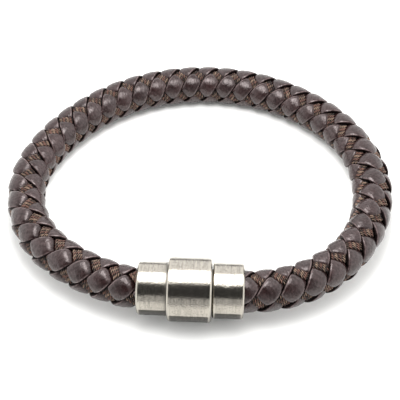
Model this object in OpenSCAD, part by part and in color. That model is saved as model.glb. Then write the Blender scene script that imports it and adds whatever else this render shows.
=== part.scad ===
// Braided leather bracelet: a round cord of four leather strips and four flat bundles of waxed
// thread, closed by a stepped metal clasp. It lies on its side, as it rests on a table.

/* [Cord] */
// Diameter of the cord over its leather scales
cord_d = 8.2; // [8:0.05:8.3]
// Length along the cord in which a strip goes once round it
pitch = 16.88; // [16.8:0.01:17]
// Distance from the right cap to the middle of the first row of scales
first_row = 0.5; // [-0.5:0.1:0.5]
// Thickness of a leather strip at the crown of a scale
leather_t = 1.3; // [1.25:0.05:1.3]
// Thickness of a bundle of threads
thread_t = 0.5; // [0.4:0.05:0.5]

/* [Loop] */
// Angle that the right side of the loop turns through
right_turn = 132.5; // [130:0.5:133]
// Angle that the back of the loop turns through
back_turn = 117.5; // [115:0.5:119]
// Angle that the left side of the loop turns through
left_turn = 73.5; // [71:0.5:76]
// Radius of the left side, to the middle of the cord
left_r = 21.7; // [21:0.1:23]
// Angle that the straighter part before the left cap turns through
front_turn = 21.5; // [20:0.5:24]
// Radius of the straighter part before the left cap
front_r = 40; // [36:1:44]
// Radius of the bend into the left cap
bend_r = 11.5; // [11:0.5:13]

/* [Clasp] */
// Diameter of the left cap, which holds an end of the cord
left_cap_d = 10.3; // [10:0.1:11]
// Diameter of the right cap, which holds the other end
right_cap_d = 10.7; // [10:0.1:11]
// Diameter of the collar between the caps
collar_d = 12.4; // [11.8:0.1:13]
// Length of the left cap
left_cap_len = 5.8; // [5.5:0.1:6.5]
// Length of the collar
collar_len = 8.4; // [8.3:0.1:9.5]
// Length of the right cap
right_cap_len = 6; // [5.5:0.1:6.5]
// Seam between the collar and the right cap
seam = 0.1; // [0.05:0.05:0.2]
// Width of the bevelled rims
rim = 0.3; // [0.2:0.05:0.4]

/* [Hidden] */
$fn = 64;

// Clasp, from its left end to its right end
clasp_len = left_cap_len + collar_len + seam + right_cap_len;
left_end = -clasp_len / 2;
right_end = clasp_len / 2;
collar_left = left_end + left_cap_len;
collar_right = collar_left + collar_len;
cord_bore_d = 8.6;
cord_bore_depth = 5;
socket_d = 8.2;
socket_depth = 6;
magnet_t = 2;
slack = 0.1;
spigot_d = socket_d - 2 * slack;
spigot_len = socket_depth - magnet_t - 2 * slack + seam;

// Loop in its own plane: straight through the clasp, then five arcs. The radii of the right side
// and of the back follow from the others, so that the loop closes.
function way(heading) = [sin(heading), -cos(heading)];
left_start = right_turn + back_turn;
front_start = left_start + left_turn;
bend_start = front_start + front_turn;
ARC_STARTS = [0, right_turn, left_start, front_start, bend_start, 360];
function step_of(i) = way(ARC_STARTS[i + 1]) - way(ARC_STARTS[i]);
still_open = [clasp_len, 0] + left_r * step_of(2) + front_r * step_of(3) + bend_r * step_of(4);
spread = step_of(0).x * step_of(1).y - step_of(0).y * step_of(1).x;
right_r = (step_of(1).x * still_open.y - step_of(1).y * still_open.x) / spread;
back_r = (step_of(0).y * still_open.x - step_of(0).x * still_open.y) / spread;
RADII = [right_r, back_r, left_r, front_r, bend_r];

// Distance from the right cap to the start of each arc, the centre of each arc, and the heading
// at each distance
function reach_of(i) =
    i == 0 ? 0 : reach_of(i - 1) + RADII[i - 1] * (ARC_STARTS[i] - ARC_STARTS[i - 1]) * PI / 180;
function centre_of(i) =
    i == 0 ? [right_end, right_r] : centre_of(i - 1) + (RADII[i - 1] - RADII[i]) * way(ARC_STARTS[i]);
cord_len = reach_of(5);
CENTRES = [for (i = [0 : 4]) centre_of(i)];
HEADINGS = [for (i = [0 : 5]) [reach_of(i), ARC_STARTS[i]]];
function arc_at(s, i = 0) = i < 4 && s > HEADINGS[i + 1][0] ? arc_at(s, i + 1) : i;

// How the loop lies: the collar and the back of the cord touch the table
loop_depth = CENTRES[1].y + back_r;
rest_tilt = asin((collar_d - cord_d) / 2 / loop_depth);
side_shift = -(right_end + right_r + CENTRES[2].x - left_r) / 2;
depth_shift = -(loop_depth * cos(rest_tilt) + cord_d / 2 - collar_d / 2) / 2;

// Braid: p counts degrees across the strips and q counts degrees across the bundles, so a strip
// keeps its p and a bundle its q. Heights are from the middle of the weave.
turn_per_mm = 360 / pitch;
weave = 0.43;
mid_r = cord_d / 2 - weave - leather_t / 2;
in_cap = 3.2;
strand_from = -in_cap;
strand_to = cord_len + in_cap;

// Angle of one row of scales round the cord, from the outside of the loop upwards. The cord
// twists by about a third of a turn, mostly in the right side.
ROW_ANGLE = [
    // distance from the right cap, angle
    [-10, 160], [0, 153], [20, 129], [40, 101], [60, 72], [90, 56], [130, 49], [170, 60], [190, 46]
];

// The rows nearest the left cap are pushed towards it.
ROW_SHIFT = [
    // distance from the right cap, shift
    [cord_len - 21, 0], [cord_len - 12, 0.9]
];

// Corners of a strip's section: part of its half width, part of its half thickness
LEATHER_CORNERS = [[-1, -0.2], [-0.5, 1], [0.5, 1], [1, -0.2], [0, -1]];
// Stages of one scale and the pinch after it
LEATHER_STAGES = [
    // phase, half width in degrees, height in parts of the weave, part of the thickness
    [-50, 43.6, 0.92, 0.94],
    [0, 47, 1, 1],
    [50, 43.6, 0.92, 0.94],
    [69, 37, -1, 0.58],
    [111, 37, -1, 0.58]
];
thread_half_w = 20;
THREAD_CORNERS = [[-1, -1], [-1, 1], [1, 1], [1, -1]];
// Stages of a bundle as it goes under one strip and over the next
THREAD_STAGES = [
    // phase, height
    [-25.5, -0.62],
    [25.5, -0.62],
    [66.5, 0.36],
    [113.5, 0.36]
];
// A strand is counted from this many half turns before the right cap to as many past the left one
spare_waves = 4;
waves = ceil(cord_len / pitch * 4) + 2 * spare_waves;

leather_colour = [0.24, 0.17, 0.17];
thread_colour = [0.42, 0.3, 0.2];
metal_colour = [0.66, 0.64, 0.6];
magnet_colour = [0.3, 0.3, 0.32];

// Point in the loop's plane at distance s along the cord and w outwards from its middle. Straight
// pieces before and after the loop lie inside the caps.
function loop_point(s, w) =
    s < 0 ? [right_end + s, -w]
    : s > cord_len ? [left_end + s - cord_len, -w]
    : let (i = arc_at(s)) CENTRES[i] + (RADII[i] + w) * way(lookup(s, HEADINGS));

// Distance along the cord at which p and q cross
function even_reach(p, q) = first_row + (q - p) / 2 / turn_per_mm;
function reach(p, q) = let (s = even_reach(p, q)) s + lookup(s, ROW_SHIFT);

// Point of the braid in space
function braid_point(p, q, height) =
    let (s = reach(p, q), angle = lookup(s, ROW_ANGLE) + (p + q) / 2, r = mid_r + height)
    let (flat = loop_point(s, r * cos(angle)))
    [flat.x, flat.y, r * sin(angle)];

// Stages of a whole strand from one wave to another, each with its full phase as its first value
function rings(stages, first, last) =
    [for (n = [first : last], stage = stages) concat([180 * n + stage[0]], stage)];

function leather_ring(k, ring) =
    [for (c = LEATHER_CORNERS)
        braid_point(90 * k + c.x * ring[2], 90 * k + ring[0],
                    ring[3] * weave + c.y * ring[4] * leather_t / 2)];

function thread_ring(m, ring) =
    [for (c = THREAD_CORNERS)
        braid_point(90 * m + ring[0], 90 * m - c.x * thread_half_w, ring[2] + c.y * thread_t / 2)];

function inside(s) = s > strand_from && s < strand_to;

// Closed skin over a row of rings with the same number of corners
module skin(rows) {
    n = len(rows[0]);
    last = len(rows) - 1;
    sides = [for (i = [0 : last - 1], j = [0 : n - 1])
        let (a = i * n + j, b = i * n + (j + 1) % n)
        each [[a, b, a + n], [b, b + n, a + n]]];
    start = [for (j = [1 : n - 2]) [0, j + 1, j]];
    finish = [for (j = [1 : n - 2]) [last * n, last * n + j, last * n + j + 1]];
    polyhedron(points = [for (row = rows) each row], faces = concat(start, sides, finish), convexity = 10);
}

// Lays a piece modelled in the loop's plane on the table
module at_rest() {
    translate([side_shift, depth_shift, collar_d / 2]) rotate([-rest_tilt, 0, 0]) children();
}

module leather_strip(k) {
    rows = [for (ring = rings(LEATHER_STAGES, -spare_waves, waves))
        if (inside(reach(0, ring[0]))) leather_ring(k, ring)];
    color(leather_colour) at_rest() skin(rows);
}

module thread_bundle(m) {
    rows = [for (ring = rings(THREAD_STAGES, -waves, spare_waves))
        if (inside(reach(ring[0], 0))) thread_ring(m, ring)];
    color(thread_colour) at_rest() skin(rows);
}

// Cylinder along the clasp with a bevelled rim at each end
module turned(from, to, d) {
    translate([from, 0, 0]) rotate([0, 90, 0]) rotate_extrude()
        polygon([[0, 0], [d / 2 - rim, 0], [d / 2, rim], [d / 2, to - from - rim],
                 [d / 2 - rim, to - from], [0, to - from]]);
}

// Plain cylinder along the clasp
module bar(from, to, d) {
    translate([from, 0, 0]) rotate([0, 90, 0]) cylinder(h = to - from, d = d);
}

// Left cap and collar are one turned piece
module clasp_socket() {
    color(metal_colour) at_rest() difference() {
        union() {
            turned(left_end, collar_left + rim, left_cap_d);
            turned(collar_left, collar_right, collar_d);
        }
        bar(left_end - 1, left_end + cord_bore_depth, cord_bore_d);
        bar(collar_right - socket_depth, collar_right + 1, socket_d);
    }
}

// Right cap and the spigot that goes into the collar are one turned piece
module clasp_plug() {
    color(metal_colour) at_rest() difference() {
        union() {
            turned(collar_right + seam, right_end, right_cap_d);
            bar(collar_right + seam - spigot_len, collar_right + seam + rim, spigot_d);
        }
        bar(right_end - cord_bore_depth, right_end + 1, cord_bore_d);
    }
}

// Disc at the bottom of the socket, which holds the plug
module clasp_magnet() {
    color(magnet_colour) at_rest()
        bar(collar_right - socket_depth + slack / 2, collar_right - socket_depth + slack / 2 + magnet_t,
            socket_d - 2 * slack);
}

clasp_socket();
clasp_plug();
clasp_magnet();
leather_strip(0);  // leather_strip_1
leather_strip(1);  // leather_strip_2
leather_strip(2);  // leather_strip_3
leather_strip(3);  // leather_strip_4
thread_bundle(0);  // thread_bundle_1
thread_bundle(1);  // thread_bundle_2
thread_bundle(2);  // thread_bundle_3
thread_bundle(3);  // thread_bundle_4
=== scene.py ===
import itertools
import math

import bmesh
import bpy
import numpy as np
from mathutils import Matrix, Vector, noise


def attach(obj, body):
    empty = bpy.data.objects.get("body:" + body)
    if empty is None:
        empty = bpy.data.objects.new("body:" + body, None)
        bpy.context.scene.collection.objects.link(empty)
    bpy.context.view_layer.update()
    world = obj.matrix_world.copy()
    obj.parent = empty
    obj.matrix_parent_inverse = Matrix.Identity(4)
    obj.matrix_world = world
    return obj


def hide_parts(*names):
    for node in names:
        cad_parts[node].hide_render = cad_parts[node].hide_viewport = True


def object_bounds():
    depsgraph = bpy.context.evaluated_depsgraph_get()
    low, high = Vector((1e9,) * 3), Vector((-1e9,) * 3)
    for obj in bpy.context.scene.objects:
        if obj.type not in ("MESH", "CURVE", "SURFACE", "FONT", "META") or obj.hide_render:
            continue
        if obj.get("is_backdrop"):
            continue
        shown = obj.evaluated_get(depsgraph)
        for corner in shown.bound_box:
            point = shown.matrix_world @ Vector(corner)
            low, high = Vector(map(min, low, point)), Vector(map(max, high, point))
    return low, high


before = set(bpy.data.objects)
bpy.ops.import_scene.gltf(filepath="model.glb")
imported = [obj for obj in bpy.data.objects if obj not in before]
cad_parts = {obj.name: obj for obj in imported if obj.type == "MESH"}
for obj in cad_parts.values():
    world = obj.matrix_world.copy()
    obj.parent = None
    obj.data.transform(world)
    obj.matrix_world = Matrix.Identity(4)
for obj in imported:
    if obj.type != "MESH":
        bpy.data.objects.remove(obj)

bl_info = {
    "name": "Braided leather bracelet",
    "version": (1, 0, 0),
    "blender": (4, 5, 0),
    "location": "3D View > Sidebar > Bracelet",
    "description": "Dresses the packed bracelet: leather strips, waxed threads, turned clasp and studio",
    "category": "Object",
}

MM = 0.001
CAD_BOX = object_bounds()

# Angle of one row of scales round the cord in degrees, by the distance from the right cap in millimetres.
# The cord twists by about a third of a turn, mostly in the right side of the loop.
ROW_ANGLE = (
    (-10, 160), (0, 153), (20, 129), (40, 101), (60, 72), (90, 56), (130, 49), (170, 60), (190, 46),
)

# How far the strands run on into the caps, and how far the middle line does
IN_CAP = 3.2 * MM
LEAD = 8 * MM
# The rows nearest the left cap are pushed towards it: where that starts and ends before the cap, how far
PUSH_FROM = 21 * MM
PUSH_TO = 12 * MM
PUSH = 0.9 * MM
# Between points of the middle line
LINE_STEP = 0.4 * MM
# Length of one radian of the phase along a strand, and of one radian across a strip
ALONG = 2.37 * MM
ACROSS = 2.2 * MM
# Strips in the braid, and bundles as well
STRANDS = 4

# Kinds and settings of nodes that come again and again. A range takes in turn its value, the lowest and
# highest that it comes from, and the lowest and highest that it goes to.
MATH = "ShaderNodeMath"
VECTOR = "ShaderNodeVectorMath"
RANGE = "ShaderNodeMapRange"
NOISE = "ShaderNodeTexNoise"
MIX = "ShaderNodeMix"
BUMP = "ShaderNodeBump"
STORE = "GeometryNodeStoreNamedAttribute"
READ = "GeometryNodeInputNamedAttribute"
GROUP = "GeometryNodeGroup"
SKIN = "GeometryNodeCurveToMesh"
KEPT = "ShaderNodeAttribute"
SMOOTH = {"interpolation_type": "SMOOTHSTEP"}
FLOAT = {"data_type": "FLOAT"}
RGBA = {"data_type": "RGBA"}
ON_POINTS = {"data_type": "FLOAT", "domain": "POINT"}


def hex_to_linear(code):
    """Turns an sRGB hex colour into the linear colour that sockets take"""
    parts = [int(code[i:i + 2], 16) / 255 for i in (1, 3, 5)]
    return tuple(v / 12.92 if v <= 0.04045 else ((v + 0.055) / 1.055) ** 2.4 for v in parts)


def feed(node, inputs):
    """Sets a node's inputs, given by name or number, or as a plain row for the first ones in turn. Each is
    a value, a socket, or a node for its first output."""
    for key, value in inputs.items() if isinstance(inputs, dict) else enumerate(inputs):
        if isinstance(value, bpy.types.Node):
            value = value.outputs[0]
        if isinstance(value, bpy.types.NodeSocket):
            node.id_data.links.new(value, node.inputs[key])
        else:
            node.inputs[key].default_value = value


def emptied(tree):
    """Takes all nodes out of a tree and gives the function that adds new ones to it: each of a kind, with
    its settings, or with its operation alone, and its inputs"""
    tree.nodes.clear()

    def add(kind, settings=None, inputs=()):
        node = tree.nodes.new(kind)
        if isinstance(settings, str):
            settings = {"operation": settings}
        for name, value in (settings or {}).items():
            setattr(node, name, value)
        feed(node, inputs)
        return node

    return add


def into_scene(name, data):
    """New object in the scene with this mesh, camera or light"""
    thing = bpy.data.objects.new(name, data)
    bpy.context.scene.collection.objects.link(thing)
    return thing


# Sizes and colours that a user would change

def size_prop(name, description, default):
    """Property for a size in metres"""
    return bpy.props.FloatProperty(
        name=name, description=description, default=default, unit="LENGTH", precision=5)


def angle_prop(name, description, degrees):
    """Property for an angle"""
    return bpy.props.FloatProperty(
        name=name, description=description, default=math.radians(degrees), subtype="ANGLE")


def colour_prop(name, description, code):
    """Property for a colour, from its sRGB hex value"""
    return bpy.props.FloatVectorProperty(
        name=name, description=description, default=hex_to_linear(code), subtype="COLOR", min=0, max=1)


class BraceletCord(bpy.types.PropertyGroup):
    """Sizes of the cord and of the loop that it makes, the same as in the part's source"""

    diameter: size_prop("Cord diameter", "Over the leather scales", 8.2 * MM)
    pitch: size_prop("Pitch", "Length in which a strip goes once round the cord", 16.88 * MM)
    first_row: size_prop(
        "First row", "From the right cap to the middle of the first row of scales", 0.5 * MM)
    right_turn: angle_prop("Right turn", "Angle that the right side of the loop turns through", 132.5)
    back_turn: angle_prop("Back turn", "Angle that the back of the loop turns through", 117.5)
    left_turn: angle_prop("Left turn", "Angle that the left side of the loop turns through", 73.5)
    left_radius: size_prop("Left radius", "Radius of the left side of the loop", 21.7 * MM)
    front_turn: angle_prop(
        "Front turn", "Angle that the straighter part before the left cap turns through", 21.5)
    front_radius: size_prop("Front radius", "Radius of the straighter part before the left cap", 40 * MM)
    bend_radius: size_prop("Bend radius", "Radius of the bend into the left cap", 11.5 * MM)
    weave: size_prop("Weave", "How far a strip rises and falls from the middle of the weave", 0.43 * MM)


class BraceletLeather(bpy.types.PropertyGroup):
    """Cut and colour of the leather strips"""

    thickness: size_prop("Thickness", "At the crown of a scale", 1.3 * MM)
    half_width: angle_prop("Half width", "Mean half width of a strip, as an angle across the weave", 45)
    swell: angle_prop("Swell", "How much wider a scale is than the mean, as an angle across the weave", 3.5)
    dye: colour_prop("Dye", "Colour of the smooth side", "#221313")
    # Also the colour of the painted highlight along the strips' edges
    worn_and_highlight: colour_prop("Worn edge", "Colour of the rubbed edges", "#5a4b4a")


class BraceletThread(bpy.types.PropertyGroup):
    """Make and colour of the waxed threads"""

    yarns: bpy.props.IntProperty(
        name="Yarns", description="Side by side in a bundle", default=4, min=1, max=5)
    yarn_diameter: size_prop("Yarn diameter", "Over both plies", 0.6 * MM)
    ply_pitch: size_prop(
        "Ply pitch", "Length in which a yarn's two plies twist once round each other", 1.6 * MM)
    light: colour_prop("Light thread", "Colour of the paler ply", "#877060")
    red: colour_prop("Red thread", "Colour of the redder ply", "#705146")
    # Also the colour that the painted shade in the ply grooves and at the dives darkens towards
    dark: colour_prop("Dark thread", "Colour of the darker fibres", "#120b09")


class BraceletClasp(bpy.types.PropertyGroup):
    """Sizes and colour of the turned clasp, the same sizes as in the part's source"""

    left_diameter: size_prop("Left diameter", "Of the left cap", 10.3 * MM)
    right_diameter: size_prop("Right diameter", "Of the right cap", 10.7 * MM)
    collar_diameter: size_prop("Collar diameter", "Of the wide middle", 12.4 * MM)
    left_cap: size_prop("Left cap", "Its length", 5.8 * MM)
    collar: size_prop("Collar", "Its length", 8.4 * MM)
    right_cap: size_prop("Right cap", "Its length", 6 * MM)
    seam: size_prop("Seam", "Between the collar and the right cap", 0.1 * MM)
    rim: size_prop("Rim", "Width of the bevelled rims", 0.3 * MM)
    plate: colour_prop("Plate", "Colour of the rubbed silver plate", "#9f9a91")
    # Also the colour of the painted shade on the clasp's lower side
    tarnish_and_shade: colour_prop("Tarnish", "Colour of the dark left in the corners", "#3b3935")


class BraceletStudio(bpy.types.PropertyGroup):
    """Camera and light"""

    azimuth: angle_prop("Azimuth", "Of the camera, to the right of the clasp", 2.36)
    elevation: angle_prop("Elevation", "Of the camera over the table", 52.38)
    distance: size_prop("Distance", "From the camera to the middle of the loop", 191 * MM)
    lens: bpy.props.FloatProperty(name="Lens", description="Focal length in image widths", default=2.209)
    softbox: bpy.props.FloatProperty(
        name="Softbox", description="Power of the softbox over the loop", default=0.2, unit="POWER")
    floor: colour_prop("Floor", "Colour of the table", "#f6f6f4")


# The loop of the cord

class Loop:
    """Middle line of the closed cord in its own plane, and how that plane lies on the table"""

    def __init__(self, cord, clasp):
        length = clasp.left_cap + clasp.collar + clasp.seam + clasp.right_cap
        self.left_end = -length / 2
        self.right_end = length / 2
        turns = (cord.right_turn, cord.back_turn, cord.left_turn, cord.front_turn)
        self.starts = [0, *itertools.accumulate(turns), 2 * math.pi]
        steps = [self.way(b) - self.way(a) for a, b in zip(self.starts, self.starts[1:])]
        # The right and back radii follow from the others, so that the loop closes
        given = (cord.left_radius, cord.front_radius, cord.bend_radius)
        still_open = np.array((length, 0)) + sum(r * step for r, step in zip(given, steps[2:]))
        right_radius, back_radius = np.linalg.solve(np.transpose(steps[:2]), -still_open)
        self.radii = (right_radius, back_radius, *given)
        self.arcs = [r * (b - a) for r, a, b in zip(self.radii, self.starts, self.starts[1:])]
        self.length = sum(self.arcs)
        self.centres = [np.array((self.right_end, right_radius))]
        for before, after, start in zip(self.radii, self.radii[1:], self.starts[1:]):
            self.centres.append(self.centres[-1] + (before - after) * self.way(start))
        # The collar stands on the table at the front and the cord at the back, so the loop leans
        depth = self.centres[1][1] + back_radius
        tilt = math.asin((clasp.collar_diameter - cord.diameter) / 2 / depth)
        self.face = Vector((0, math.sin(tilt), math.cos(tilt)))
        side_shift = -(self.right_end + right_radius + self.centres[2][0] - cord.left_radius) / 2
        depth_shift = -(depth * math.cos(tilt) + cord.diameter / 2 - clasp.collar_diameter / 2) / 2
        place = Matrix.Translation((side_shift, depth_shift, clasp.collar_diameter / 2))
        self.rest = place @ Matrix.Rotation(-tilt, 4, "X")
        self.middle = self.rest @ Vector((-side_shift, depth / 2, 0))

    @staticmethod
    def way(heading):
        return np.array((math.sin(heading), -math.cos(heading)))

    def point(self, s):
        """Point of the middle line at the distance s from the right cap"""
        if s <= 0:
            return self.right_end + s, 0
        for radius, centre, start, arc in zip(self.radii, self.centres, self.starts, self.arcs):
            if s <= arc:
                return tuple(centre + radius * self.way(start + s / radius))
            s -= arc
        return self.left_end + s, 0

    def host(self):
        """Object with the middle line as one row of edges, each point knowing how the rows of scales lie"""
        stops = [-LEAD, *itertools.accumulate(self.arcs, initial=0), self.length + LEAD]
        reach = []
        for a, b in zip(stops, stops[1:]):
            reach.extend(np.linspace(a, b, math.ceil((b - a) / LINE_STEP) + 1)[:-1])
        reach.append(stops[-1])
        mesh = bpy.data.meshes.new("middle line")
        mesh.from_pydata([self.rest @ Vector((*self.point(s), 0)) for s in reach],
                         [(i, i + 1) for i in range(len(reach) - 1)], [])
        angle = mesh.attributes.new("row_angle", "FLOAT", "POINT")
        distances, degrees = zip(*ROW_ANGLE)
        angle.data.foreach_set("value", np.radians(np.interp(np.array(reach) / MM, distances, degrees)))
        return into_scene("middle line", mesh)


# Geometry Nodes. A tree's inputs are named with their defaults or, where they have none, with their type.

# Where the braid lies, for every tree that places something on it
BRAID_INPUTS = {
    "First row": 0.0,
    "Pitch": 16.88 * MM,
    "Middle radius": 3 * MM,
    "Face": (0, 0, 1),
    "Push from": 164 * MM,
}
STRAND_INPUTS = {
    "Geometry": "Geometry",
    "Number": 0.0,
    "Material": "Material",
    **BRAID_INPUTS,
    "Rings": 1000,
    "First phase": 0.0,
    "Phase step": 0.1,
    "Seed": 0,
}


def new_tree(name, inputs, output=("Geometry", "Geometry")):
    """Starts a tree with its inputs and its one output, which is given as (name, type). Gives the tree,
    the function that adds its nodes, and its inputs."""
    tree = bpy.data.node_groups.new(name, "GeometryNodeTree")
    for label, default in inputs.items():
        kind = {float: "Float", int: "Int", tuple: "Vector"}.get(type(default), default)
        socket = tree.interface.new_socket(name=label, in_out="INPUT", socket_type="NodeSocket" + kind)
        if kind != default:
            socket.default_value = default
    label, kind = output
    tree.interface.new_socket(name=label, in_out="OUTPUT", socket_type="NodeSocket" + kind)
    add = emptied(tree)
    return tree, add, add("NodeGroupInput").outputs


def point_tree():
    """Point of the braid in space. P counts the angle across the strips and Q the angle across the bundles,
    so a strip keeps its P and a bundle its Q; the height is from the middle of the weave."""
    _, add, given = new_tree("Point of the braid", {
        "Cord": "Geometry",
        **BRAID_INPUTS,
        "P": 0.0,
        "Q": 0.0,
        "Height": 0.0,
    }, ("Position", "Vector"))
    # How far along the cord
    lag = add(MATH, "SUBTRACT", (given["Q"], given["P"]))
    per_angle = add(MATH, "DIVIDE", (given["Pitch"], 4 * math.pi))
    along = add(MATH, "MULTIPLY", (lag, per_angle))
    even = add(MATH, "ADD", (along, given["First row"]))
    push_end = add(MATH, "ADD", (given["Push from"], PUSH_FROM - PUSH_TO))
    pushed = add(RANGE, None, (even, given["Push from"], push_end, LEAD, PUSH + LEAD))
    reach = add(MATH, "ADD", (even, pushed))
    row = add(READ, FLOAT, {"Name": "row_angle"})
    sample = add("GeometryNodeSampleCurve", {"mode": "LENGTH", "data_type": "FLOAT"},
                 {"Curves": given["Cord"], "Value": row, "Length": reach})
    # How far round it
    both = add(MATH, "ADD", (given["P"], given["Q"]))
    half = add(MATH, "MULTIPLY", (both, 0.5))
    angle = add(MATH, "ADD", (half, sample.outputs["Value"]))
    radius = add(MATH, "ADD", (given["Middle radius"], given["Height"]))
    across = add(VECTOR, "CROSS_PRODUCT", (sample.outputs["Tangent"], given["Face"]))
    outwards = add(VECTOR, "NORMALIZE", (across,))
    arms = []
    for operation, direction in (("COSINE", outwards), ("SINE", given["Face"])):
        share = add(MATH, operation, (angle,))
        by = add(MATH, "MULTIPLY", (radius, share))
        arms.append(add(VECTOR, "SCALE", {0: direction, "Scale": by}))
    offset = add(VECTOR, "ADD", arms)
    position = add(VECTOR, "ADD", (sample.outputs["Position"], offset))
    add("NodeGroupOutput", None, (position,))


def wave_tree():
    """Wave of the weave, 1 at a crown and -1 at the pinch a quarter turn of the phase later. The shoulder
    makes the slopes between them steeper, and the bias makes the crowns longer than the pinches."""
    _, add, given = new_tree("Wave of the weave", {
        "Phase": 0.0,
        "Shoulder": 3.0,
        "Bias": 0.0,
    }, ("Wave", "Float"))
    double = add(MATH, "MULTIPLY", (given["Phase"], 2.0))
    cos = add(MATH, "COSINE", (double,))
    biased = add(MATH, "ADD", (cos, given["Bias"]))
    steep = add(MATH, "MULTIPLY", (biased, given["Shoulder"]))
    wave = add(MATH, "TANH", (steep,))
    add("NodeGroupOutput", None, (wave,))


def rings_of(add, given):
    """Curve with a point for each ring of a strand, which keeps the ring's phase"""
    line = add("GeometryNodeMeshLine", {"mode": "OFFSET"},
               {"Count": given["Rings"], "Offset": (0, 0, MM)})
    run = add("GeometryNodeMeshToCurve", None, {"Mesh": line})
    index = add("GeometryNodeInputIndex")
    stepped = add(MATH, "MULTIPLY", (index, given["Phase step"]))
    phase = add(MATH, "ADD", (stepped, given["First phase"]))
    return add(STORE, ON_POINTS, {"Geometry": run, "Name": "phase", "Value": phase})


def unit_ring(add, given):
    """Circle of 1 m, the place of its points, and their x and y"""
    ring = add("GeometryNodeCurvePrimitiveCircle", None, {"Resolution": given["Sides"], "Radius": 1.0})
    place = add("GeometryNodeInputPosition")
    axis = add("ShaderNodeSeparateXYZ", None, (place,)).outputs
    return ring, place, axis["X"], axis["Y"]


def laid(add, given, geometry, p, q, height):
    """Moves the points of a strand to their place on the cord"""
    cord = add("GeometryNodeMeshToCurve", None, {"Mesh": given["Geometry"]})
    braid = {name: given[name] for name in BRAID_INPUTS}
    point = add(GROUP, {"node_tree": bpy.data.node_groups["Point of the braid"]},
                {"Cord": cord, **braid, "P": p, "Q": q, "Height": height})
    return add("GeometryNodeSetPosition", None, {"Geometry": geometry, "Position": point})


def end_strand(add, given, skin, phase, aside, kept):
    """Keeps what the finish reads, which is the place on the strand in metres and the kept fields, and
    ends the tree with a smooth skin in its material"""
    along = add(MATH, "MULTIPLY", (phase, ALONG))
    lay = add("ShaderNodeCombineXYZ", None, (along, *aside))
    skin = add(STORE, {"data_type": "FLOAT_VECTOR", "domain": "POINT"},
               {"Geometry": skin, "Name": "lay", "Value": lay})
    for name, value in kept.items():
        skin = add(STORE, ON_POINTS, {"Geometry": skin, "Name": name, "Value": value})
    skin = add("GeometryNodeSetShadeSmooth", None, {"Geometry": skin})
    solid = add("GeometryNodeRealizeInstances", None, {"Geometry": skin})
    dressed = add("GeometryNodeSetMaterial", None, {"Geometry": solid, "Material": given["Material"]})
    add("NodeGroupOutput", None, (dressed,))


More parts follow.
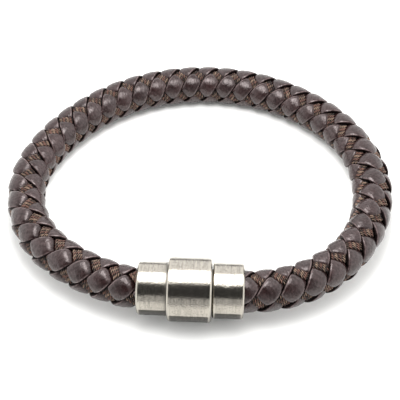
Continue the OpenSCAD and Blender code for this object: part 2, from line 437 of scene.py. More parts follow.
def leather_tree():
    """One strip of the braid: a flat section with rounded edges that lies high over one bundle of threads
    and dives under the next"""
    tree, add, given = new_tree("Leather strip", {
        **STRAND_INPUTS,
        "Sides": 20,
        "Half width": math.radians(45),
        "Swell": math.radians(3.5),
        "Weave": 0.5 * MM,
        "Thickness": 1.3 * MM,
        "Squareness": 0.48,
        "Lean": math.radians(8),
        "Shoulder": 4.0,
        "Nose": 0.5,
        "Bias": 0.88,
        "Round end": 0.1,
        "Loose from": 112.0,
        "Loose": 0.2,
        "Dome": 0.2 * MM,
        "Roll": 0.06 * MM,
        "Unevenness": 1.0,
    })
    run = rings_of(add, given)

    # Section: a superellipse with its widest line a little under its middle
    lowered = 0.1
    ring, _, x, y = unit_ring(add, given)
    squared = []
    for side in (x, y):
        size = add(MATH, "ABSOLUTE", (side,))
        full = add(MATH, "POWER", (size, given["Squareness"]))
        sign = add(MATH, "SIGN", (side,))
        squared.append(add(MATH, "MULTIPLY", (full, sign)))
    over = add(MATH, "MULTIPLY", (squared[1], 1 + lowered))
    depth = add(MATH, "SUBTRACT", (over, lowered))
    for name, value in (("across", squared[0]), ("depth", depth)):
        ring = add(STORE, ON_POINTS, {"Geometry": ring, "Name": name, "Value": value})
    skin = add(SKIN, None, {"Curve": run, "Profile Curve": ring, "Fill Caps": True})
    phase, across, depth = (add(READ, FLOAT, {"Name": name}) for name in ("phase", "across", "depth"))

    # Each scale leans back over the bundle that it comes out from under, with a steep nose there and a
    # gentle slope at its other end
    leaning = add(MATH, "ADD", (phase, given["Lean"]))
    double = add(MATH, "MULTIPLY", (leaning, 2.0))
    ripple = add(MATH, "COSINE", (double,))
    skew = add(MATH, "SINE", (double,))
    nose = add(MATH, "MULTIPLY", (skew, given["Nose"]))
    nose = add(MATH, "SUBTRACT", (1.0, nose))
    shoulder = add(MATH, "MULTIPLY", (nose, given["Shoulder"]))
    # The middle of a scale reaches further over the bundle than its sides do, so its ends are round
    square = add(MATH, "MULTIPLY", (across, across))
    shorter = add(MATH, "MULTIPLY", (square, given["Round end"]))
    bias = add(MATH, "SUBTRACT", (given["Bias"], shorter))
    # The braid is laid more loosely before the left cap, so that more of the threads shows there. It gets
    # loose over this many radians of the phase.
    loosens_over = 8.0
    loose_end = add(MATH, "ADD", (given["Loose from"], loosens_over))
    loose = add(RANGE, None, (phase, given["Loose from"], loose_end, 0.0, given["Loose"]))
    bias = add(MATH, "SUBTRACT", (bias, loose))
    wave = add(GROUP, {"node_tree": bpy.data.node_groups["Wave of the weave"]},
               {"Phase": leaning, "Shoulder": shoulder, "Bias": bias})

    # Each scale is a little different: how far it strays to its side, and how high it puffs up
    stray, puff_height = math.radians(0.8), 0.03 * MM
    shifted = add(MATH, "DIVIDE", (phase, math.pi))
    scale_number = add(MATH, "ROUND", (shifted,))
    salt = add(MATH, "MULTIPLY_ADD", (given["Number"], 1000.0, scale_number))
    other_seed = add(MATH, "ADD", (given["Seed"], 11.0))
    chances = [
        add("FunctionNodeRandomValue", FLOAT, {2: -1.0, 3: 1.0, "ID": salt, "Seed": seed}).outputs[1]
        for seed in (given["Seed"], other_seed)]
    crown = add(MATH, "MULTIPLY_ADD", (ripple, 0.5, 0.5))
    mild = add(MATH, "MULTIPLY", (crown, given["Unevenness"]))
    lean, puff = (add(MATH, "MULTIPLY", (chance, mild)) for chance in chances)

    width = add(MATH, "MULTIPLY_ADD", (ripple, given["Swell"], given["Half width"]))
    side = add(MATH, "MULTIPLY", (across, width))
    wander = add(MATH, "MULTIPLY_ADD", (lean, stray, side))
    turn = add(MATH, "MULTIPLY", (given["Number"], math.tau / STRANDS))
    p = add(MATH, "ADD", (wander, turn))
    q = add(MATH, "ADD", (phase, turn))
    rise = add(MATH, "MULTIPLY", (wave, given["Weave"]))
    sag = add(MATH, "SUBTRACT", (ripple, 1.0))
    for part, size in ((sag, given["Dome"]), (across, given["Roll"]), (puff, puff_height)):
        rise = add(MATH, "MULTIPLY_ADD", (part, size, rise))
    # A strip is pressed thinner where it is pinched
    fullness = add(MATH, "MULTIPLY_ADD", (wave, 0.12, 0.88))
    half_thick = add(MATH, "MULTIPLY", (given["Thickness"], 0.5))
    thick = add(MATH, "MULTIPLY", (fullness, half_thick))
    height = add(MATH, "MULTIPLY_ADD", (depth, thick, rise))
    skin = laid(add, given, skin, p, q, height)
    across_m = add(MATH, "MULTIPLY", (side, ACROSS))
    end_strand(add, given, skin, phase, (across_m, given["Number"]), {"lift": wave, "shade": chances[1]})
    return tree


def thread_tree():
    """One flat bundle of two-ply yarns side by side, over one strip and under the next"""
    tree, add, given = new_tree("Thread bundle", {
        **STRAND_INPUTS,
        "Yarns": 4,
        "Yarn diameter": 0.6 * MM,
        "Yarn spacing": math.radians(12.2),
        "Ply twist": 6.5,
        "Sides": 12,
        "Middle height": -0.06 * MM,
        "Wave height": 0.37 * MM,
        "Shoulder": 2.5,
    })
    copies = add("GeometryNodeDuplicateElements", {"domain": "SPLINE"},
                 {"Geometry": rings_of(add, given), "Amount": given["Yarns"]})
    run = add(STORE, {"data_type": "FLOAT", "domain": "CURVE"},
              {"Geometry": copies, "Name": "yarn", "Value": copies.outputs["Duplicate Index"]})
    phase, yarn = (add(READ, FLOAT, {"Name": name}) for name in ("phase", "yarn"))
    wave = add(GROUP, {"node_tree": bpy.data.node_groups["Wave of the weave"]},
               {"Phase": phase, "Shoulder": given["Shoulder"]})
    last = add(MATH, "SUBTRACT", (given["Yarns"], 1.0))
    middle = add(MATH, "MULTIPLY", (last, 0.5))
    rank = add(MATH, "SUBTRACT", (yarn, middle))
    aside = add(MATH, "MULTIPLY", (rank, given["Yarn spacing"]))

    # The yarns don't run quite straight. Each has its own line through the noise, these far apart.
    between_yarns, between_bundles, stray = 37.0, 151.0, math.radians(7)
    away = add(MATH, "MULTIPLY", (yarn, between_yarns))
    salt = add(MATH, "MULTIPLY_ADD", (given["Number"], between_bundles, away))
    seeded = add(MATH, "ADD", (salt, given["Seed"]))
    spot = add("ShaderNodeCombineXYZ", None, (phase, seeded))
    drift = add(NOISE, None, {"Vector": spot, "Scale": 0.8, "Detail": 1.0})
    even = add(MATH, "SUBTRACT", (drift, 0.5))
    wander = add(MATH, "MULTIPLY_ADD", (even, stray, aside))
    turn = add(MATH, "MULTIPLY", (given["Number"], math.tau / STRANDS))
    p = add(MATH, "ADD", (phase, turn))
    q = add(MATH, "SUBTRACT", (turn, wander))
    fall = add(MATH, "MULTIPLY", (wave, given["Wave height"]))
    height = add(MATH, "SUBTRACT", (given["Middle height"], fall))
    run = laid(add, given, run, p, q, height)
    twist = add(MATH, "MULTIPLY", (phase, given["Ply twist"]))
    # Neighbours are twisted on a little, so that their plies don't line up
    twist = add(MATH, "MULTIPLY_ADD", (rank, 0.2, twist))
    run = add("GeometryNodeSetCurveTilt", None, {"Curve": run, "Tilt": twist})

    # Section of two plies: the outline of two circles that overlap a little
    apart = 0.95
    ring, place, x, y = unit_ring(add, given)
    size_x = add(MATH, "ABSOLUTE", (x,))
    near = add(MATH, "MULTIPLY", (size_x, apart))
    square_y = add(MATH, "POWER", (y, 2.0))
    left_over = add(MATH, "MULTIPLY_ADD", (square_y, -apart * apart, 1.0))
    far = add(MATH, "SQRT", (left_over,))
    reach = add(MATH, "ADD", (near, far))
    part = add(MATH, "DIVIDE", (reach, 2 * (1 + apart)))
    radius = add(MATH, "MULTIPLY", (part, given["Yarn diameter"]))
    lobed = add(VECTOR, "SCALE", {0: place, "Scale": radius})
    ring = add(STORE, ON_POINTS, {"Geometry": ring, "Name": "ply", "Value": x})
    ring = add("GeometryNodeSetPosition", None, {"Geometry": ring, "Position": lobed})
    skin = add(SKIN, None, {"Curve": run, "Profile Curve": ring, "Fill Caps": True})
    # Each yarn has a lane of its own in the finish, 1 m from the next and 7 m from the next bundle's
    lane = add(MATH, "MULTIPLY_ADD", (given["Number"], 7.0, yarn))
    end_strand(add, given, skin, phase, (lane,), {"sunk": wave})
    return tree


def grow(host, tree, name, values):
    """Runs a tree on the host with these inputs and keeps the result as a plain mesh object"""
    modifier = host.modifiers.new(name, "NODES")
    modifier.node_group = tree
    sockets = {item.name: item.identifier for item in tree.interface.items_tree}
    for label, value in values.items():
        modifier[sockets[label]] = value
    depsgraph = bpy.context.evaluated_depsgraph_get()
    grown = host.evaluated_get(depsgraph)
    mesh = bpy.data.meshes.new_from_object(grown, preserve_all_data_layers=True, depsgraph=depsgraph)
    host.modifiers.remove(modifier)
    mesh.name = name
    return into_scene(name, mesh)


def stands_for(piece, node):
    """Rides the piece on the bracelet's one body, in place of a CAD node"""
    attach(piece, "root")
    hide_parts(node)


def lay_strands(context, loop, tree, step, node, slot, own):
    """Lays the strands of one kind from cap to cap, with inputs of their own. The step is the angle from
    ring to ring, negative for strands that wind the other way."""
    cord = context.scene.bracelet_cord
    thickness = context.scene.bracelet_leather.thickness
    per_metre = 4 * math.pi / cord.pitch
    first = (-IN_CAP - cord.first_row) * per_metre
    last = (loop.length + IN_CAP - PUSH - cord.first_row) * per_metre
    rings = math.ceil((last - first) / abs(step))
    sign = math.copysign(1, step)
    host = loop.host()
    for number in range(STRANDS):
        piece = grow(host, tree, f"{slot}_{number + 1}", {
            "Number": float(number), "First row": cord.first_row, "Pitch": cord.pitch, "Face": loop.face,
            "Middle radius": cord.diameter / 2 - cord.weave - thickness / 2,
            "Push from": loop.length - PUSH_FROM, "Rings": rings, "First phase": sign * first,
            "Phase step": sign * (last - first) / (rings - 1), **own,
        })
        stands_for(piece, f"{node}_{number + 1}")
    bpy.data.objects.remove(host)


# Finishes

def shader_of(name):
    """Starts a material and gives it, the function that adds its nodes, and its shader"""
    material = bpy.data.materials.new(name)
    material.use_nodes = True
    add = emptied(material.node_tree)
    shader = add("ShaderNodeBsdfPrincipled")
    add("ShaderNodeOutputMaterial", None, {"Surface": shader})
    return material, add, shader


def waxed_leather(look):
    """Cowhide, aniline dyed and waxed on its smooth side: dark and half glossy, with fine pores, the dye
    a little cloudy, the skived edges rubbed paler with a painted highlight, and painted shade on the sides,
    the underside and where a strip dives"""
    material, add, shader = shader_of("waxed leather")
    lay = add(KEPT, {"attribute_name": "lay"}).outputs["Vector"]
    lift, shade, across, depth = (add(KEPT, {"attribute_name": name}).outputs["Fac"]
                                  for name in ("lift", "shade", "across", "depth"))

    # Patterns by their size in millimetres: clouds in the dye, grain that takes dye and wax unevenly,
    # breaks in the rubbed edge, buffing of the wax, and soft creases
    clouds, speckle, broken, polish, creases = (
        add(NOISE, None, {"Vector": lay, "Scale": 1 / (size * MM), "Detail": detail})
        for size, detail in ((2, 3.0), (0.5, 3.0), (0.6, 2.0), (1.2, 2.0), (0.9, 4.0)))

    # The dye is cloudy, and each scale has its own shade
    mixed = add(MATH, "MULTIPLY_ADD", (shade, 0.16, clouds))
    tone = add(RANGE, None, (mixed, 0.3, 0.7, 0.65, 1.15))
    # Painted shade where the strip dives under a bundle: the colour falls to 0.3 of itself at the pinch
    sunk = add(RANGE, None, (lift, -0.6, 0.6, 0.3, 1.0))
    # Painted shade, nearly black, on the edges, the sides and the underside, for the shade in the gaps
    # between strips
    side = add(RANGE, SMOOTH, (depth, -0.1, 0.75))
    edge = add(MATH, "ABSOLUTE", (across,))
    edge_shade = add(RANGE, SMOOTH, (edge, 0.86, 0.97, 1.0, 0.05))
    side = add(MATH, "MULTIPLY", (side, edge_shade))
    # Painted shade: the colour falls to 0.08 of itself on the edges, the sides and the underside
    bright = add(RANGE, None, (side, 0.0, 1.0, 0.08, 1.0))
    mottle = add(RANGE, None, (speckle, 0.3, 0.7, 0.68, 1.3))
    value = tone
    for part in (sunk, bright, mottle):
        value = add(MATH, "MULTIPLY", (value, part))
    dyed = add(VECTOR, "SCALE", {0: tuple(look.dye), "Scale": value})

    # Rubbed edge just inside them, partly real wear and partly a painted highlight: it lies only on the top
    # side and on the raised parts, where the edge catches the light
    band = add(RANGE, SMOOTH, (edge, 0.78, 0.86))
    upper = add(RANGE, SMOOTH, (depth, -0.2, 0.4))
    rub = add(RANGE, None, (broken, 0.3, 0.6))
    raised = add(RANGE, None, (lift, -0.2, 0.7))
    wear = band
    for part in (edge_shade, upper, rub, raised):
        wear = add(MATH, "MULTIPLY", (wear, part))
    colour = add(MIX, RGBA, {"Factor": wear, 6: dyed, 7: (*look.worn_and_highlight, 1)})

    # The wax is buffed more here and less there; the gloss drops with the painted shade on edges, sides and
    # dives
    rough = add(RANGE, None, (polish, 0.3, 0.7, 0.18, 0.34))
    gloss = add(MATH, "MULTIPLY", (side, sunk))
    waxed = add(RANGE, None, (gloss, 0.3, 1.0, 0.02, 0.4))
    waxed = add(MATH, "MULTIPLY", (waxed, mottle))
    # The mean level stays on the socket, for an export that can't carry the varying one
    shader.inputs["Specular IOR Level"].default_value = 0.3

    # Grain cells of about 0.3 mm with pores between them
    cells = add("ShaderNodeTexVoronoi", {"feature": "SMOOTH_F1"},
                {"Vector": lay, "Scale": 1 / (0.3 * MM), "Smoothness": 0.6})
    # Fine folds along the strip, 0.3 mm apart, where it dives
    long_way = add("ShaderNodeMapping", None,
                   {"Vector": lay, "Scale": (1 / (1.8 * MM), 1 / (0.3 * MM), 1.0)})
    folds = add(NOISE, None, {"Vector": long_way, "Scale": 1.0, "Detail": 1.0})
    diving = add(RANGE, None, (lift, 0.2, 0.99, 1.0, 0.12))
    bumps = add(BUMP, None, {"Height": cells, "Strength": 0.6, "Distance": 0.02 * MM})
    for height, strength, deep in ((folds, diving, 0.09 * MM), (creases, 0.8, 0.13 * MM)):
        bumps = add(BUMP, None,
                    {"Height": height, "Strength": strength, "Distance": deep, "Normal": bumps})
    feed(shader, {
        "Base Color": colour.outputs[2], "Roughness": rough, "IOR": 1.6, "Specular IOR Level": waxed,
        "Specular Tint": (1.0, 0.89, 0.88, 1), "Normal": bumps,
    })
    return material


def waxed_thread(look):
    """Linen thread spun from two plies and waxed: brown, dull, with paler fibres where the wax has
    rubbed off, and painted shade in the grooves between the plies and where it dives"""
    material, add, shader = shader_of("waxed linen thread")
    lay = add(KEPT, {"attribute_name": "lay"}).outputs["Vector"]
    # One ply is where "ply" is positive and the other where it is negative
    sunk, ply = (add(KEPT, {"attribute_name": name}).outputs["Fac"] for name in ("sunk", "ply"))
    coords = add("ShaderNodeTexCoord").outputs["Object"]
    # Patterns by their size in millimetres: blotches, fibres, and stretches on which the wax is thicker
    blotch, fibres, thick = (
        add(NOISE, None, {"Vector": place, "Scale": 1 / (size * MM), "Detail": detail})
        for place, size, detail in ((lay, 0.9, 2.0), (coords, 0.12, 2.0), (lay, 7, 1.0)))
    # The crowns of the plies are rubbed paler, and the grooves between the plies carry painted shade.
    # Painted shade darkens the thread where it dives.
    lobe = add(MATH, "ABSOLUTE", (ply,))
    mixed = blotch
    for part, weight in ((lobe, 0.9), (fibres, 0.4), (sunk, -0.6), (thick, -0.7)):
        mixed = add(MATH, "MULTIPLY_ADD", (part, weight, mixed))
    light = add(RANGE, SMOOTH, (mixed, 1.42, 1.9))
    kind = add(RANGE, None, (ply, -0.2, 0.2))
    pale = add(MIX, RGBA, {"Factor": kind, 6: (*look.light, 1), 7: (*look.red, 1)})
    colour = add(MIX, RGBA, {"Factor": light, 6: (*look.dark, 1), 7: pale.outputs[2]})
    bump = add(BUMP, None, {"Height": fibres, "Strength": 0.6, "Distance": 0.03 * MM})
    feed(shader, {
        "Base Color": colour.outputs[2], "Roughness": 0.5, "Specular IOR Level": 0.2, "Sheen Weight": 0.05,
        "Normal": bump,
    })
    return material


def antiqued_silver(look):
    """Silver plate on a turned body, darkened and then rubbed back: bright rims, fine lines round the
    clasp from the rubbing, dark corners and small pits, and painted shade on its lower side"""
    material, add, shader = shader_of("antiqued silver plate")
    wear, grime = (add(KEPT, {"attribute_name": name}).outputs["Fac"] for name in ("wear", "grime"))
    coords = add("ShaderNodeTexCoord").outputs["Object"]

    # Lines go round the clasp, several millimetres long. They are really about 0.1 mm apart and are drawn
    # 0.25 mm apart along it, as coarse as they need to show.
    lined = add("ShaderNodeMapping", None,
                {"Vector": coords, "Scale": (1 / (0.25 * MM), 1 / (3 * MM), 1 / (3 * MM))})
    lines = add(NOISE, None, {"Vector": lined, "Scale": 1.0, "Detail": 3.0})
    # Stains of about 1.6 mm and pits of about 0.28 mm
    cloud, pits = (add(NOISE, None, {"Vector": coords, "Scale": 1 / (size * MM), "Detail": detail})
                   for size, detail in ((1.6, 4.0), (0.28, 3.0)))
    stain_and_shade = add(RANGE, None, (cloud, 0.5, 0.75, 0.0, 0.35))
    spots = add(RANGE, None, (pits, 0.5, 0.68, 0.0, 0.5))
    rubbed = add(RANGE, None, (lines, 0.45, 0.7, 0.0, 0.38))
    for part in (spots, rubbed, grime):
        stain_and_shade = add(MATH, "MAXIMUM", (stain_and_shade, part))
    # Painted shade: below 6.5 mm over the table the plate darkens towards the tarnish colour, for the
    # shaded table it reflects
    height = add("ShaderNodeSeparateXYZ", None, (coords,)).outputs["Z"]
    under = add(RANGE, SMOOTH, (height, 6.5 * MM, 6.8 * MM, 0.9, 0.0))
    stain_and_shade = add(MATH, {"operation": "ADD", "use_clamp": True}, (stain_and_shade, under))
    clean = add(MATH, {"operation": "SUBTRACT", "use_clamp": True}, (stain_and_shade, wear))
    colour = add(MIX, RGBA, {"Factor": clean, 6: (*look.plate, 1), 7: (*look.tarnish_and_shade, 1)})
    rough = add(RANGE, None, (clean, 0.0, 1.0, 0.12, 0.4))
    brushed = add(BUMP, None, {"Height": lines, "Strength": 0.5, "Distance": 0.01 * MM})
    pitted = add(BUMP, None, {"Height": pits, "Strength": 0.6, "Distance": 0.04 * MM, "Normal": brushed})
    feed(shader, {
        "Base Color": colour.outputs[2], "Metallic": 1.0, "Roughness": rough, "Normal": pitted,
    })
    return material


def nickel_plate():
    """Nickel plating on a pressed magnet: pale, slightly warm and smooth, more and less dull over about
    0.4 mm"""
    material, add, shader = shader_of("nickel plate")
    coords = add("ShaderNodeTexCoord").outputs["Object"]
    peel = add(NOISE, None, {"Vector": coords, "Scale": 1 / (0.4 * MM)})
    rough = add(RANGE, None, (peel, 0.0, 1.0, 0.15, 0.3))
    feed(shader, {"Base Color": (*hex_to_linear("#b9b3a8"), 1), "Metallic": 1.0, "Roughness": rough})
    return material


def matt_board(look):
    """White coated board, matt"""
    material, _, shader = shader_of("matt white board")
    feed(shader, {"Base Color": (*look.floor, 1), "Roughness": 0.9})
    return material


# Turned pieces

def round_corners(outline):
    """Points of an outline of (x, radius, rounding), each corner rounded in a few steps"""
    steps = 4
    points = []
    for i, (x, r, rounding) in enumerate(outline):
        here = Vector((x, r))
        if not rounding:
            points.append(here)
            continue
        before = (Vector(outline[i - 1][:2]) - here).normalized()
        after = (Vector(outline[i + 1][:2]) - here).normalized()
        half = before.angle(after) / 2
        reach = rounding / math.tan(half)
        centre = here + (before + after).normalized() * (rounding / math.sin(half))
        start, stop = here + before * reach - centre, here + after * reach - centre
        swing = start.angle_signed(stop)
        for k in range(steps + 1):
            arm = start.copy()
            arm.rotate(Matrix.Rotation(-swing * k / steps, 2))
            points.append(centre + arm)
    return points


def split_long(points, longest):
    """The same outline with no step longer than the longest one"""
    out = [points[0]]
    for a, b in zip(points, points[1:]):
        parts = max(1, math.ceil((b - a).length / longest))
        out.extend(a.lerp(b, k / parts) for k in range(1, parts + 1))
    return out


def turn_on_lathe(name, outline, rest, dent):
    """Closed turned piece round the clasp's axis, from an outline that starts and ends on the axis, with
    a dent of (x, angle, radius, depth) in its outside. It remembers how near each point is to an outer
    corner (wear) and to an inner one (grime)."""
    dent_x, dent_angle, dent_radius, dent_depth = dent
    sides, longest, outside = 160, 0.35 * MM, 5 * MM
    # The outside is slightly uneven: by how much, over what length
    uneven, uneven_over = 0.012 * MM, 2.2 * MM
    # How far wear and grime reach from a corner
    wear_reach, grime_reach = 0.22 * MM, 0.45 * MM
    bends = []
    for (ax, ar, _), (bx, br, _), (cx, cr, _) in zip(outline, outline[1:], outline[2:]):
        turn = (bx - ax) * (cr - br) - (br - ar) * (cx - bx)
        bends.append((Vector((bx, br)), turn))
    mesh = bpy.data.meshes.new(name)
    form = bmesh.new()
    wear = form.verts.layers.float.new("wear")
    grime = form.verts.layers.float.new("grime")
    rings = []
    for point in split_long(round_corners(outline), longest):
        x, r = point
        near_out = min((point - bend).length for bend, turn in bends if turn < 0)
        near_in = min((point - bend).length for bend, turn in bends if turn > 0)
        ring = []
        for k in range(sides if r > 1e-7 else 1):
            angle = 2 * math.pi * k / sides
            place = Vector((x, r * math.cos(angle), r * math.sin(angle)))
            press = uneven * noise.noise(place / uneven_over)
            gap = Vector((x - dent_x, r * math.remainder(angle - dent_angle, 2 * math.pi))).length
            press -= dent_depth * math.exp(-(gap / dent_radius) ** 2)
            outward = Vector((0, math.cos(angle), math.sin(angle)))
            vert = form.verts.new(rest @ (place + outward * (press if r > outside else 0)))
            vert[wear] = math.exp(-(near_out / wear_reach) ** 2)
            vert[grime] = math.exp(-near_in / grime_reach)
            ring.append(vert)
        rings.append(ring)
    for a, b in zip(rings, rings[1:]):
        for k in range(sides):
            corners = (a[k % len(a)], a[(k + 1) % len(a)], b[(k + 1) % len(b)], b[k % len(b)])
            # Next to a ring of one point, on the axis, it is a triangle
            form.faces.new(list(dict.fromkeys(corners))).smooth = True
    bmesh.ops.recalc_face_normals(form, faces=form.faces)
    form.to_mesh(mesh)
    form.free()
    return into_scene(name, mesh)


# The studio

def hang_softbox(power):
    """Softbox close over the loop, a little behind its middle, so that the shadows fall outwards"""
    data = bpy.data.lights.new("softbox", "AREA")
    data.shape = "RECTANGLE"
    data.size, data.size_y = 0.09, 0.11
    data.energy = power
    data.use_nodes = True
    add = emptied(data.node_tree)
    # Its cloth is brightest in the middle and fades towards the corners
    spot = add("ShaderNodeNewGeometry").outputs["Parametric"]
    off = add(VECTOR, "DISTANCE", (spot, (0.5, 0.5, 0)))
    fade = add(RANGE, SMOOTH, (off.outputs["Value"], 0.1, 0.6, 1.9, 0.2))
    cloth = add("ShaderNodeEmission", None, {"Strength": fade})
    add("ShaderNodeOutputLight", None, {"Surface": cloth})
    softbox = into_scene("softbox", data)
    softbox.location = (0, 0.008, 0.12)
    softbox.visible_camera = False


def light_tent():
    """Tent round it all, told by the height in degrees from the front horizon over the zenith to the back
    one: the front wall, the narrow dark opening that the photographer looks through, the grey behind the
    softbox and the white back. The side walls are a little less bright."""
    stops = ((0, 1), (23, 1), (29, 0.07), (73, 0.07), (88, 1), (125, 1.25), (138, 2.1), (180, 2.1))
    # A colour ramp holds no more than 1, so it is filled with shares of this
    brightest = 2.5
    world = bpy.data.worlds.new("light tent")
    world.use_nodes = True
    add = emptied(world.node_tree)
    way = add("ShaderNodeTexCoord").outputs["Generated"]
    axis = add("ShaderNodeSeparateXYZ", None, (way,)).outputs
    front = add(MATH, "MULTIPLY", (axis["Y"], -1.0))
    height = add(MATH, "ARCTAN2", (axis["Z"], front))
    part = add(MATH, "DIVIDE", (height, math.pi))
    ramp = add("ShaderNodeValToRGB", None, (part,))
    elements = ramp.color_ramp.elements
    while len(elements) < len(stops):
        elements.new(1.0)
    for element, (degrees, strength) in zip(elements, stops):
        element.position = degrees / 180
        element.color = (*[strength / brightest] * 3, 1)
    middle = add(MATH, "MULTIPLY", (ramp, brightest))
    aside = add(MATH, "ABSOLUTE", (axis["X"],))
    jamb = add(RANGE, SMOOTH, (aside, 0.15, 0.3))
    wall = add(RANGE, SMOOTH, (aside, 0.55, 0.8))
    beside = add(RANGE, SMOOTH, (part, 0.3, 0.55, 0.6, 2.1))
    light = add(MIX, FLOAT, {"Factor": jamb, 2: middle, 3: beside})
    light = add(MIX, FLOAT, {"Factor": wall, 2: light, 3: 2.3})
    glow = add("ShaderNodeBackground", None, {"Color": (1, 1, 1, 1), "Strength": light})
    add("ShaderNodeOutputWorld", None, {"Surface": glow})
    return world


# Operators

class BRACELET_OT_leather(bpy.types.Operator):
    """Lays the four leather strips of the braid"""

    bl_idname = "bracelet.leather"
    bl_label = "Leather strips"

    def execute(self, context):
        scene = context.scene
        cord, look = scene.bracelet_cord, scene.bracelet_leather
        loop = Loop(cord, scene.bracelet_clasp)
        # The braid is looser over the last 35 mm before the left cap
        loose_from = (loop.length - 35 * MM) * 4 * math.pi / cord.pitch
        lay_strands(context, loop, leather_tree(), math.radians(6), "leather_strip", "leather", {
            "Material": waxed_leather(look), "Seed": 4, "Half width": look.half_width, "Swell": look.swell,
            "Weave": cord.weave, "Loose from": loose_from, "Thickness": look.thickness,
        })
        return {"FINISHED"}


class BRACELET_OT_threads(bpy.types.Operator):
    """Lays the four bundles of waxed thread over and under the strips"""

    bl_idname = "bracelet.threads"
    bl_label = "Thread bundles"

    def execute(self, context):
        scene = context.scene
        look = scene.bracelet_thread
        loop = Loop(scene.bracelet_cord, scene.bracelet_clasp)
        twist = -ALONG * 2 * math.pi / look.ply_pitch
        lay_strands(context, loop, thread_tree(), math.radians(-5), "thread_bundle", "thread", {
            "Material": waxed_thread(look), "Seed": 9, "Yarns": look.yarns,
            "Yarn diameter": look.yarn_diameter, "Ply twist": twist,
        })
        return {"FINISHED"}


class BRACELET_OT_clasp(bpy.types.Operator):
    """Turns the two halves of the clasp and finishes the hidden magnet"""

    bl_idname = "bracelet.clasp"
    bl_label = "Clasp"

    def execute(self, context):
        clasp = context.scene.bracelet_clasp
        loop = Loop(context.scene.bracelet_cord, clasp)
        rim = clasp.rim
        # Radii and depths of what the outside hides, the same as in the part's source
        bore, bore_depth = 4.3 * MM, 5 * MM
        socket, socket_depth = 4.1 * MM, 6 * MM
        spigot, spigot_length = 4 * MM, 3.9 * MM
        # Rounding of the outer corners and of the inner ones
        soft, tight = 0.07 * MM, 0.03 * MM
        left, right = loop.left_end, loop.right_end
        collar_left = left + clasp.left_cap
        collar_right = collar_left + clasp.collar
        start = collar_right + clasp.seam
        left_cap, collar, right_cap = (
            size / 2 for size in (clasp.left_diameter, clasp.collar_diameter, clasp.right_diameter))
        halves = {
            "clasp_socket": ([
                (left + bore_depth, 0, 0), (left + bore_depth, bore, tight), (left, bore, soft),
                (left, left_cap - rim, soft), (left + rim, left_cap, soft), (collar_left, left_cap, tight),
                (collar_left, collar - rim, soft), (collar_left + rim, collar, soft),
                (collar_right - rim, collar, soft), (collar_right, collar - rim, soft),
                (collar_right, socket, soft), (collar_right - socket_depth, socket, tight),
                (collar_right - socket_depth, 0, 0),
            ], (0.5 * MM, 1.15, 1.2 * MM, 0.03 * MM)),
            "clasp_plug": ([
                (start - spigot_length, 0, 0), (start - spigot_length, spigot, soft),
                (start, spigot, tight), (start, right_cap - rim, soft), (start + rim, right_cap, soft),
                (right - rim, right_cap, soft), (right, right_cap - rim, soft), (right, bore, soft),
                (right - bore_depth, bore, tight), (right - bore_depth, 0, 0),
            ], (6.9 * MM, 1.9, 0.9 * MM, 0.05 * MM)),
        }
        finish = antiqued_silver(clasp)
        for node, (outline, dent) in halves.items():
            piece = turn_on_lathe(node + "_turned", outline, loop.rest, dent)
            piece.data.materials.append(finish)
            stands_for(piece, node)
        plating = nickel_plate()
        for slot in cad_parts["clasp_magnet"].material_slots:
            slot.material = plating
        return {"FINISHED"}


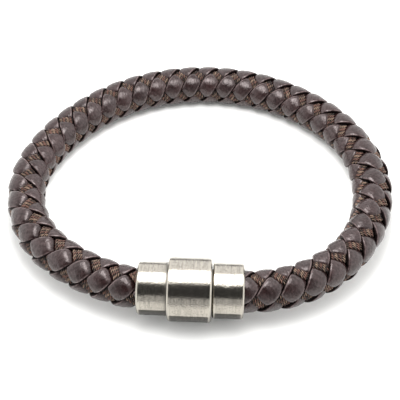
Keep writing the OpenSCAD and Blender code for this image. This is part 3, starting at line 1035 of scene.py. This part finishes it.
class BRACELET_OT_studio(bpy.types.Operator):
    """Sets up the white table, the light tent and the camera"""

    bl_idname = "bracelet.studio"
    bl_label = "Table, light and camera"

    def execute(self, context):
        look = context.scene.bracelet_studio
        loop = Loop(context.scene.bracelet_cord, context.scene.bracelet_clasp)
        half = 1.5
        mesh = bpy.data.meshes.new("table")
        corners = [(-half, -half, 0), (half, -half, 0), (half, half, 0), (-half, half, 0)]
        mesh.from_pydata(corners, [], [(0, 1, 2, 3)])
        mesh.materials.append(matt_board(look))
        into_scene("table", mesh)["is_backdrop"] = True

        data = bpy.data.cameras.new("camera")
        camera = into_scene("camera", data)
        context.scene.camera = camera
        az, el = look.azimuth, look.elevation
        back = Vector((math.sin(az) * math.cos(el), -math.cos(az) * math.cos(el), math.sin(el)))
        side = Vector((math.cos(az), math.sin(az), 0))
        foot = Vector((loop.middle.x, loop.middle.y, 0))
        camera.location = foot + back * look.distance
        # The picture's middle lies this far below and to the left of the loop's, for each metre of distance
        below, aside = 0.0091, 0.0004
        aim = foot - (back.cross(side) * below + side * aside) * look.distance
        camera.rotation_euler = (camera.location - aim).to_track_quat("Z", "Y").to_euler()
        data.sensor_width = 36
        data.lens = look.lens * data.sensor_width
        data.clip_start = 0.01

        hang_softbox(look.softbox)
        context.scene.world = light_tent()
        context.scene.view_settings.view_transform = "Standard"
        return {"FINISHED"}


class BRACELET_PT_panel(bpy.types.Panel):
    """Lists what dresses the bracelet"""

    bl_idname = "BRACELET_PT_panel"
    bl_label = "Bracelet"
    bl_space_type = "VIEW_3D"
    bl_region_type = "UI"
    bl_category = "Bracelet"

    def draw(self, context):
        for name, group in GROUPS.items():
            box = self.layout.box()
            for prop in group.__annotations__:
                box.prop(getattr(context.scene, name), prop)
        for operator in OPERATORS:
            self.layout.operator(operator.bl_idname)


GROUPS = {
    "bracelet_cord": BraceletCord,
    "bracelet_leather": BraceletLeather,
    "bracelet_thread": BraceletThread,
    "bracelet_clasp": BraceletClasp,
    "bracelet_studio": BraceletStudio,
}
OPERATORS = (BRACELET_OT_leather, BRACELET_OT_threads, BRACELET_OT_clasp, BRACELET_OT_studio)


def register():
    for cls in (*GROUPS.values(), *OPERATORS, BRACELET_PT_panel):
        bpy.utils.register_class(cls)
    for name, group in GROUPS.items():
        setattr(bpy.types.Scene, name, bpy.props.PointerProperty(type=group))


def unregister():
    for name in GROUPS:
        delattr(bpy.types.Scene, name)
    for cls in reversed((*GROUPS.values(), *OPERATORS, BRACELET_PT_panel)):
        bpy.utils.unregister_class(cls)


def main():
    register()
    wave_tree()
    point_tree()
    bpy.ops.bracelet.leather()
    bpy.ops.bracelet.threads()
    bpy.ops.bracelet.clasp()
    bpy.ops.bracelet.studio()
    boxes = {"cad": CAD_BOX, "visual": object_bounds()}
    {key: [list(corner) for corner in box] for key, box in boxes.items()}


if __name__ == "__main__":
    main()
